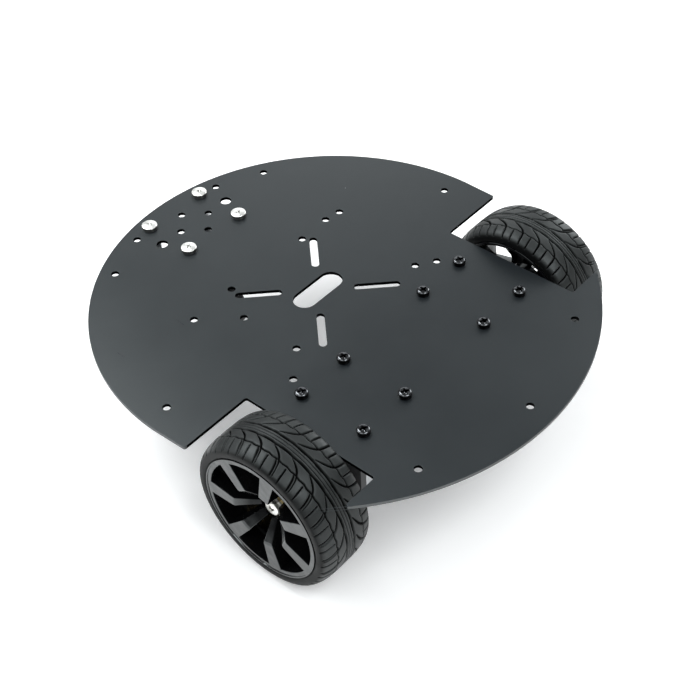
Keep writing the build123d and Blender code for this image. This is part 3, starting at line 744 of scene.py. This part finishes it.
def pan_screw(head_r, head_h, edge, dome, shank_r, length, pitch, rec_l, rec_w, rec_d, turn=0.0):
    """Cross-recess pan-head screw, seat at z 0, head upwards."""
    top = head_h
    prof = [(0, top)]
    flat_r = head_r - edge
    for f in (0.25, 0.5, 0.75, 1.0):
        prof.append((flat_r * f, top - dome * f * f))
    z_edge = top - dome
    for k in range(1, 7):
        a = math.radians(90 * k / 6)
        prof.append((flat_r + edge * math.sin(a), z_edge - edge * (1 - math.cos(a)) * 0.95))
    prof += [(head_r, 0.14), (head_r - 0.05, 0.04), (head_r - 0.14, 0.0), (shank_r * 0.9, 0.0),
             (shank_r * 0.9, -0.4), (0, -0.4)]
    head = lathe(prof, 72)
    head = boolean(head, [cross_cutter(rec_l, rec_w, rec_d, top + 0.01)])
    body = thread_shank(shank_r, pitch, -0.02, -length)
    me = join([head, body])
    me.transform(Matrix.Rotation(math.radians(turn), 4, "Z"))
    return me


FLIP = Matrix.Rotation(math.pi, 4, "X")
m3 = pan_screw(2.72, 2.4, 1.05, 0.10, 1.45, 8.0, 0.5, 1.78, 0.52, 1.7)
turns_m3 = (8, 21, 14, 3, 11, 27, 18, 6)
link_mesh("bracket_screws.fine",
          join([moved(m3, at(x, y, DECK_TOP, Matrix.Rotation(math.radians(t - 38), 4, "Z")))
                for (x, y), t in zip(FOOT, turns_m3)]),
          "black_oxide_steel", "root", "bracket_screws", smooth_angle=38, weighted=True)
m4 = pan_screw(3.36, 2.25, 0.50, 0.28, 1.95, 8.0, 0.7, 1.20, 0.32, 0.7)
parts = [moved(m4, at(x, y, DECK_TOP, Matrix.Rotation(math.radians(t), 4, "Z")))
         for (x, y), t in zip(CAS, (12, 40, 75, 28))]
parts += [moved(m4, at(x, y, 30.9, FLIP @ Matrix.Rotation(math.radians(t), 4, "Z")))
          for (x, y), t in zip(CAS, (5, 33, 61, 18))]
ob = link_mesh("caster_screws.fine", join(parts), "polished_steel", "root", "caster_screws",
               smooth_angle=38, weighted=True)
ob.data.materials[0] = M["shaded_steel"]


# ---------------------------------------------------------------- wheels
def wheel_matrix(s):
    """From the wheel's own frame (x outwards, y to the right seen from outside, z up)."""
    return Matrix(((s, 0, 0, 0), (0, s, 0, AXLE_Y * MM), (0, 0, 1, AXLE_Z * MM), (0, 0, 0, 1)))


TO_X = Matrix(((0, 0, 1, 0), (0, 1, 0, 0), (-1, 0, 0, 0), (0, 0, 0, 1)))  # +Z of a turned piece to +X


def turned(profile, n=128, closed=True):
    """Lathe about the wheel axle from (distance outwards, radius) points."""
    me = lathe([(r, w) for w, r in profile], n, closed)
    me.transform(TO_X)
    return me


PITCH = 15.0
R_MEAN = 32.0
OUTER_PATH = [(89.5, 1.05), (89.0, 0.9), (87.0, 0.0), (85.0, -1.3),
              (83.75, -2.75), (82.5, -4.6), (81.25, -7.9), (80.1, -12.3)]
LEADING = (0.12, 0.15, 0.16, 0.19, 0.28, 0.34, 0.31, 0.12)      # half widths along the path
TRAILING = (0.23, 0.29, 0.32, 0.30, 0.16, -0.10, -0.30, -0.40)
INNER_PATH = [(74.0, -13.3, 0.12), (73.7, -12.1, 0.20), (72.75, -8.25, 0.33), (71.5, -4.4, 0.37),
              (70.0, -1.65, 0.37), (68.0, -0.3, 0.35), (66.2, 0.3, 0.31), (64.6, 0.85, 0.25)]


def smooth_path(path, sub=6):
    """Catmull-Rom through the points."""
    p = np.array([path[0]] + list(path) + [path[-1]], float)
    out = []
    for i in range(1, len(p) - 2):
        for t in np.linspace(0, 1, sub, endpoint=False):
            a, b, c, d = p[i - 1], p[i], p[i + 1], p[i + 2]
            out.append(0.5 * ((2 * b) + (-a + c) * t + (2 * a - 5 * b + 4 * c - d) * t ** 2
                              + (-a + 3 * b - 3 * c + d) * t ** 3))
    out.append(p[-2])
    return np.array(out)


def beside(path, widths, off):
    """A path's parallel at the given distance, with its own half widths."""
    k = math.radians(1) * R_MEAN
    p = np.array(path, float)
    dw, da = np.gradient(p[:, 0]), np.gradient(p[:, 1] * k)
    ln = np.hypot(dw, da)
    return [(w + off * y / n, a - off * x / n / k, h)
            for (w, a), x, y, n, h in zip(p, dw, da, ln, widths)]


def signed_gap(wg, yg, path):
    """Distance from each grid point to a path's edge: negative inside the groove."""
    best = np.full(wg.shape, 1e9)
    k = math.radians(1) * R_MEAN
    for shift in (-PITCH, 0, PITCH):
        for (w_a, a_a, h_a), (w_b, a_b, h_b) in zip(path, path[1:]):
            x0, y0, x1, y1 = w_a, (a_a + shift) * k, w_b, (a_b + shift) * k
            dx, dy = x1 - x0, y1 - y0
            t = np.clip(((wg - x0) * dx + (yg - y0) * dy) / (dx * dx + dy * dy + 1e-12), 0, 1)
            d = np.hypot(wg - x0 - t * dx, yg - y0 - t * dy) - (h_a + (h_b - h_a) * t)
            best = np.minimum(best, d)
    return best


def cut(gap, depth, soft=0.10, chamfer=0.05, reach=0.32):
    t = np.clip((soft - gap) / (2 * soft), 0, 1)
    step = t * t * (3 - 2 * t)
    lip = np.clip(1 - (gap - soft) / reach, 0, 1)
    return depth * step + chamfer * lip * lip * (1 - step)


def tread_depth(w, a, ph_out, ph_in):
    """Groove depth at distance w from the middle of the robot and angle a (degrees), and how
    much painted shade the rubber gets there: near black along grooves and sipes."""
    k = math.radians(1) * R_MEAN
    wave = 0.07 * np.sin(2 * math.pi * (a - ph_out) / PITCH)
    state = [np.zeros(w.shape), np.zeros(w.shape)]

    # depth is the cut itself; dark is painted shade in it
    def add(gap, depth, dark, where=True, soft=0.10):
        state[0] = np.maximum(state[0], np.where(where, cut(gap, depth, soft), 0))
        state[1] = np.maximum(state[1], np.where(where, dark * np.clip((0.07 - gap) / 0.14, 0, 1), 0))

    for c in (75.0, 79.0):
        add(np.abs(w - c - wave) - 0.47, 1.25, 1.0)
    for c in (76.35, 77.65):
        add(np.abs(w - c - wave * 0.6) - 0.15, 0.55, 0.95, soft=0.09)
    zig = 0.14 * np.sin(2 * math.pi * (a - ph_out) / PITCH * 2 + 0.7)
    add(np.abs(w - 83.7 - zig) - 0.27, 0.9, 1.0, (w > 79) & (w < 90))
    add(np.abs(w - 69.9 - zig) - 0.27, 0.9, 1.0, w < 75)

    def tile(angle, phase, path):
        rel = (angle - phase + PITCH / 2) % PITCH - PITCH / 2
        return signed_gap(w, rel * k, path)

    for ph, path in ((ph_out, beside(OUTER_PATH, LEADING, 0.48)),
                     (ph_out, beside(OUTER_PATH, TRAILING, -0.48)), (ph_in, INNER_PATH)):
        add(tile(a, ph, smooth_path(path)), 1.0, 1.0)
    sipe_o = [(89.9, 0.55, 0.24), (87.2, -0.3, 0.29), (84.6, -1.1, 0.22)]
    sipe_i = [(69.3, -0.9, 0.22), (67.0, -0.2, 0.29), (64.5, 0.55, 0.24)]
    add(tile(a, ph_out + PITCH / 2 - 0.8, sipe_o), 0.95, 1.0)
    add(tile(a, ph_in + PITCH / 2 - 0.4, sipe_i), 0.95, 1.0)
    return state


def crown_profile(step):
    """Tyre outside from the inner bead over the crown to the outer bead, evenly spaced."""
    half = [(d, 32.5 - 2.2 * (d / 13.0) ** 4) for d in np.linspace(0, 11.4, 24)]
    half += [(11.9, 30.92), (12.35, 30.52), (12.7, 30.02), (12.9, 29.4), (12.97, 28.7),
             (12.96, 28.0), (12.88, 27.4), (12.74, 27.06), (12.5, 26.9)]
    pts = [(-d, r) for d, r in half[:0:-1]] + half
    pts = np.array(pts)
    seg = np.hypot(*np.diff(pts, axis=0).T)
    t = np.concatenate([[0], np.cumsum(seg)])
    n = int(round(t[-1] / step))
    s = np.linspace(0, t[-1], n + 1)
    d, r = np.interp(s, t, pts[:, 0]), np.interp(s, t, pts[:, 1])
    for _ in range(3):                     # take the corners off the joints between points
        d[1:-1] = (d[:-2] + 2 * d[1:-1] + d[2:]) / 4
        r[1:-1] = (r[:-2] + 2 * r[1:-1] + r[2:]) / 4
    td, tr = np.gradient(d), np.gradient(r)
    ln = np.hypot(td, tr)
    return d, r, -(-tr / ln), -(td / ln)   # position and the direction into the rubber


def make_tyre(side, s, ph_out, ph_in):
    d, r, nd, nr = crown_profile(0.185)
    per = 40
    n_ang = int(360 / PITCH) * per
    ang = np.arange(per) * PITCH / per
    wg, ag = np.meshgrid(WHEEL_C + d, ang, indexing="ij")
    dep, dark = tread_depth(wg, ag, ph_out, ph_in)
    fade = np.clip((r - 29.6) / 0.7, 0, 1)[:, None]
    dep = dep * fade
    # painted shade: the grooves, and the sidewall below r 31.2 darkening towards the bead (up to 0.72)
    dark = np.maximum(dark * fade, 0.72 * np.clip((31.2 - r) / 1.2, 0, 1)[:, None])
    rows_w = (WHEEL_C + d)[:, None] + nd[:, None] * dep
    rows_r = r[:, None] + nr[:, None] * dep
    rows_w, rows_r = np.tile(rows_w, (1, 24)), np.tile(rows_r, (1, 24))
    # beads and the seat on the rim close the section
    close = [(12.1, 26.87), (11.75, 26.7), (11.7, 26.30), (9.0, 26.24), (0, 26.24), (-9.0, 26.24),
             (-11.7, 26.30), (-11.75, 26.7), (-12.1, 26.87)]
    extra_w = np.array([[WHEEL_C + c[0]] * n_ang for c in close])
    extra_r = np.array([[c[1]] * n_ang for c in close])
    W = np.vstack([rows_w, extra_w])
    R = np.vstack([rows_r, extra_r])
    A = np.radians(np.arange(n_ang) * PITCH / per)[None, :]
    X = s * W
    Y = AXLE_Y - R * np.sin(A)
    Z = AXLE_Z + R * np.cos(A)
    m = W.shape[0]
    verts = np.stack([X, Y, Z], -1).reshape(-1, 3) * MM
    i = np.arange(m)[:, None]
    j = np.arange(n_ang)[None, :]
    i2, j2 = (i + 1) % m, (j + 1) % n_ang
    quad = np.stack([i * n_ang + j, i2 * n_ang + j, i2 * n_ang + j2, i * n_ang + j2], -1).reshape(-1, 4)
    if s > 0:
        quad = quad[:, ::-1]
    me = bpy.data.meshes.new("tyre")
    me.vertices.add(len(verts))
    me.vertices.foreach_set("co", verts.astype(np.float32).ravel())
    me.loops.add(quad.size)
    me.loops.foreach_set("vertex_index", quad.astype(np.int32).ravel())
    me.polygons.add(len(quad))
    me.polygons.foreach_set("loop_start", np.arange(0, quad.size, 4, dtype=np.int32))
    me.update(calc_edges=True)
    me.validate()
    # the 'groove' attribute carries this painted shade to the material
    low = me.attributes.new("groove", "FLOAT", "POINT")
    low.data.foreach_set("value", np.vstack([np.tile(dark, (1, 24)), 0 * extra_r])
                         .astype(np.float32).ravel())
    ob = link_mesh(side + "_wheel_tyre.fine", me, "tyre_rubber", side + "_wheel",
                   side + "_wheel_tyre", smooth_angle=180)
    return ob


make_tyre("left", -1, 13.8, 10.3)
make_tyre("right", 1, 10.5, 3.7)


def spoke(phase):
    """One spoke: flat face flush with the band, a rounded knee, then a slope to the hub."""
    st = [  # radius, outer |x|, inner |x|, half width outside, half width inside
        (25.2, 89.85, 84.4, 3.18, 3.5),
        (18.0, 89.85, 83.7, 2.66, 3.05),
        (13.7, 89.85, 83.3, 2.32, 2.8),
        (13.0, 89.80, 83.2, 2.24, 2.76),
        (12.45, 89.62, 83.0, 2.16, 2.72),
        (12.0, 89.30, 82.7, 2.08, 2.68),
        (11.6, 88.95, 82.3, 2.00, 2.64),
        (8.6, 86.50, 78.2, 1.72, 2.4),
        (4.95, 83.52, 77.9, 1.42, 2.1),
    ]
    c = 0.30
    rings = []
    ca, sa = math.cos(math.radians(phase)), math.sin(math.radians(phase))
    for r, wt, wb, ht, hb in st:
        sec = [(-hb, wb), (hb, wb), (ht, wt - c), (ht - c * 0.13, wt - c * 0.5),
               (ht - c * 0.5, wt - c * 0.13), (ht - c, wt), (-ht + c, wt),
               (-ht + c * 0.5, wt - c * 0.13), (-ht + c * 0.13, wt - c * 0.5), (-ht, wt - c)]
        rings.append([(w, r * ca - t * sa, r * sa + t * ca) for t, w in sec])
    return loft(rings)


def make_rim(side, s, phase):
    w0, w1 = W0, W1
    ring = turned([(w1, 26.5), (w1 - 0.05, 26.63), (w1 - 0.2, 26.7), (w1 - 1.1, 26.7),
                   (w1 - 1.2, 26.2), (w0 + 1.2, 26.2), (w0 + 1.1, 26.7), (w0 + 0.2, 26.7),
                   (w0, 26.5), (w0, 25.6), (w0 + 0.3, 25.3), (w0 + 2.2, 24.6), (w0 + 3.0, 24.4),
                   (w1 - 11.5, 24.4), (w1 - 10.9, 23.9), (w1 - 9.2, 23.9), (w1 - 8.6, 24.4),
                   (w1 - 0.75, 24.4), (w1 - 0.5, 24.45), (w1 - 0.37, 24.6), (w1 - 0.35, 24.75),
                   (w1 - 0.35, 26.0), (w1 - 0.31, 26.07), (w1 - 0.1, 26.12), (w1, 26.22)], 168)
    hub = turned([(72.5, 0), (72.5, 8.5), (72.8, 8.8), (78.0, 8.8), (78.6, 8.3), (79.5, 6.4),
                  (79.8, 5.7), (79.8, 0)], 96, closed=False)
    body = boolean(ring, [spoke(phase + k * 360 / 7) for k in range(7)] + [hub], "UNION")
    hexr = 6.05 / math.cos(math.pi / 6)
    hex_cut = loft([[(w, hexr * math.cos(math.radians(60 * k)), hexr * math.sin(math.radians(60 * k)))
                     for k in range(6)] for w in (72.0, 77.6)])
    seat = turned([(HUB_FACE, 0), (HUB_FACE, 4.9), (95, 4.9), (95, 0)], 64, closed=False)
    bore = turned([(77, 0), (77, 2.2), (95, 2.2), (95, 0)], 48, closed=False)
    body = boolean(body, [hex_cut, seat, bore])
    body.transform(wheel_matrix(s))
    me = bevel_mesh(body, 0.0)
    return link_mesh(side + "_wheel_rim.fine", me, "rim_gloss_black", side + "_wheel",
                     side + "_wheel_rim", smooth_angle=26, weighted=True)


make_rim("left", -1, 25.5)
make_rim("right", 1, 33.0)

hub_screw = pan_screw(3.25, 2.3, 0.50, 0.35, 1.95, 8.0, 0.7, 1.95, 0.56, 1.9, turn=20)


def washer(r_out, r_in, t, edge=0.12, n=64):
    return lathe([(r_out, edge), (r_out, t - edge), (r_out - edge, t), (r_in + edge, t),
                  (r_in, t - edge), (r_in, edge), (r_in + edge, 0), (r_out - edge, 0)], n, True)


def split_washer(r_out, r_in, t, lift=0.25, gap_deg=9.0, n=56):
    """Spring lock washer: a square-section ring, cut and slightly twisted."""
    rings = []
    for k in range(n + 1):
        f = k / n
        a = math.radians(gap_deg / 2 + (360 - gap_deg) * f)
        z = -lift / 2 + lift * f
        c, s = math.cos(a), math.sin(a)
        e = 0.1
        sec = [(r_in + e, z), (r_out - e, z), (r_out, z + e), (r_out, z + t - e), (r_out - e, z + t),
               (r_in + e, z + t), (r_in, z + t - e), (r_in, z + e)]
        rings.append([(r * c, r * s, h) for r, h in sec])
    return loft(rings)


for side, s in (("left", -1), ("right", 1)):
    wm = wheel_matrix(s)
    link_mesh(side + "_wheel_screw.fine",
              moved(hub_screw, wm @ Matrix.Translation(((HUB_FACE + 1.8) * MM, 0, 0)) @ TO_X),
              "polished_steel", side + "_wheel", side + "_wheel_screw", smooth_angle=38,
              weighted=True).data.materials[0] = M["wheel_screw_steel"]
    # both washers take the part-metallic materials with light bases: painted light in the hub's shade
    link_mesh(side + "_flat_washer.fine",
              moved(washer(4.7, 2.15, 0.8), wm @ Matrix.Translation((HUB_FACE * MM, 0, 0)) @ TO_X),
              "yellow_zinc", side + "_wheel", side + "_flat_washer", smooth_angle=38, weighted=True)
    link_mesh(side + "_lock_washer.fine",
              moved(split_washer(3.95, 2.15, 0.85), wm @ Matrix.Translation(((HUB_FACE + 0.88) * MM, 0, 0))
                    @ TO_X @ Matrix.Rotation(math.radians(-20), 4, "Z")),
              "zinc_steel", side + "_wheel", side + "_lock_washer", smooth_angle=38,
              weighted=True).data.materials[0] = M["steel_painted_bright"]


# ---------------------------------------------------------------- the other pieces
refine("bracket_nuts", "black_oxide_steel", 0.22)
refine("caster_standoffs", "turned_aluminium", 0.2)
refine("caster_mount_plate", "zinc_steel", 0.3)
refine("caster_kingpin", "zinc_steel", 0.3)
refine("caster_fork", "zinc_steel", 0.35)
refine("caster_axle", "zinc_steel", 0.2)
refine("caster_axle_nut", "zinc_steel", 0.25)
refine("caster_hub", "grey_plastic", 0.35)
refine("caster_tread", "caster_rubber", 0.3)


def drum(profile, dimples, n=144, step=0.45):
    """Turned shell about the wheel's x axis with pressed dimples (distance, degrees, radius,
    depth) in its outside. The profile's first leg is the outside and gets a finer grid."""
    (wa, ra), (wb, rb) = profile[0], profile[1]
    k = max(2, int(abs(wb - wa) / step))
    prof = [(wa + (wb - wa) * i / k, ra + (rb - ra) * i / k) for i in range(k)] + list(profile[1:])
    verts, faces = [], []
    for w, r in prof:
        for i in range(n):
            a = 2 * math.pi * i / n
            rr = r
            if r > ra - 0.4:
                for dw, deg, size, depth in dimples:
                    da = (a - math.radians(deg) + math.pi) % (2 * math.pi) - math.pi
                    q = math.hypot(w - dw, da * r) / size
                    if q < 1:
                        rr -= depth * (1 - q * q) ** 2
            verts.append((w, rr * math.cos(a), rr * math.sin(a)))
    m = len(prof)
    for j in range(m):
        for i in range(n):
            a, b = j * n, (j + 1) % m * n
            faces.append((a + i, b + i, b + (i + 1) % n, a + (i + 1) % n))
    return mesh_of(verts, faces)


def motor_matrix(s):
    return Matrix(((s, 0, 0, 0), (0, s, 0, AXLE_Y * MM), (0, 0, 1, BOX_Z * MM), (0, 0, 0, 1)))


for side, s in (("left", -1), ("right", 1)):
    refine(side + "_motor_bracket", "bracket_black", 0.35)
    refine(side + "_face_screws", "zinc_steel", 0.3)
    refine(side + "_gearbox_front_plate", "gearbox_steel", 0.3)
    stakes = [(48.9, 60 * k + 30, 1.1, 0.42) for k in range(6)] + [(32.2, 120 * k, 1.0, 0.35)
                                                                   for k in range(3)]
    me = drum([(31.2, 18.5), (50.45, 18.5), (50.8, 18.36), (51.0, 18.1), (51.0, 17.6),
               (31.5, 17.6), (31.5, 3.4), (30.0, 3.4), (30.0, 17.5), (30.12, 17.95),
               (30.5, 18.32), (30.85, 18.46), (30.95, 18.3), (31.1, 18.3)], stakes)
    link_mesh(side + "_gearbox_housing.fine", moved(me, motor_matrix(s)), "gearbox_steel", "root",
              side + "_gearbox_housing", smooth_angle=35, weighted=True)
    pads = [(11.0, d, 1.5, 0.45) for d in (35, 145, 215, 325)] + [(26.0, d, 1.2, 0.3) for d in (0, 180)]
    me = drum([(9.2, 16.75), (27.6, 16.75), (28.6, 16.68), (29.3, 16.4), (29.75, 15.95),
               (30.0, 15.2), (30.0, 1.05), (28.5, 1.05), (28.5, 15.55), (8.0, 15.55), (8.0, 16.3),
               (8.1, 16.55), (8.35, 16.72), (8.6, 16.75), (8.8, 16.55), (9.0, 16.55)], pads)
    link_mesh(side + "_motor_can.fine", moved(me, motor_matrix(s)), "motor_zinc", "root",
              side + "_motor_can", smooth_angle=35, weighted=True)
    refine(side + "_motor_end_cap", "black_plastic", 0.5)
    refine(side + "_motor_terminals", "brass", 0.12)
    refine(side + "_output_shaft", "polished_steel", 0.15)
    refine(side + "_hex_coupling", "brass", 0.3)
    refine(side + "_set_screws", "black_oxide_steel", 0.15)
    for node, slot in (("output_bush", "bronze"), ("gear_pins", "polished_steel"),
                       ("first_gear", "brass"), ("second_gear", "gear_steel"),
                       ("output_gear", "gear_steel"), ("motor_rotor", "gear_steel"),
                       ("motor_pinion", "brass"), ("tyre_insert", "foam")):
        ob = NODES[side + "_" + node]
        ob.data.materials.clear()
        ob.data.materials.append(M[slot])
ob = NODES["caster_balls"]
ob.data.materials.clear()
ob.data.materials.append(M["polished_steel"])
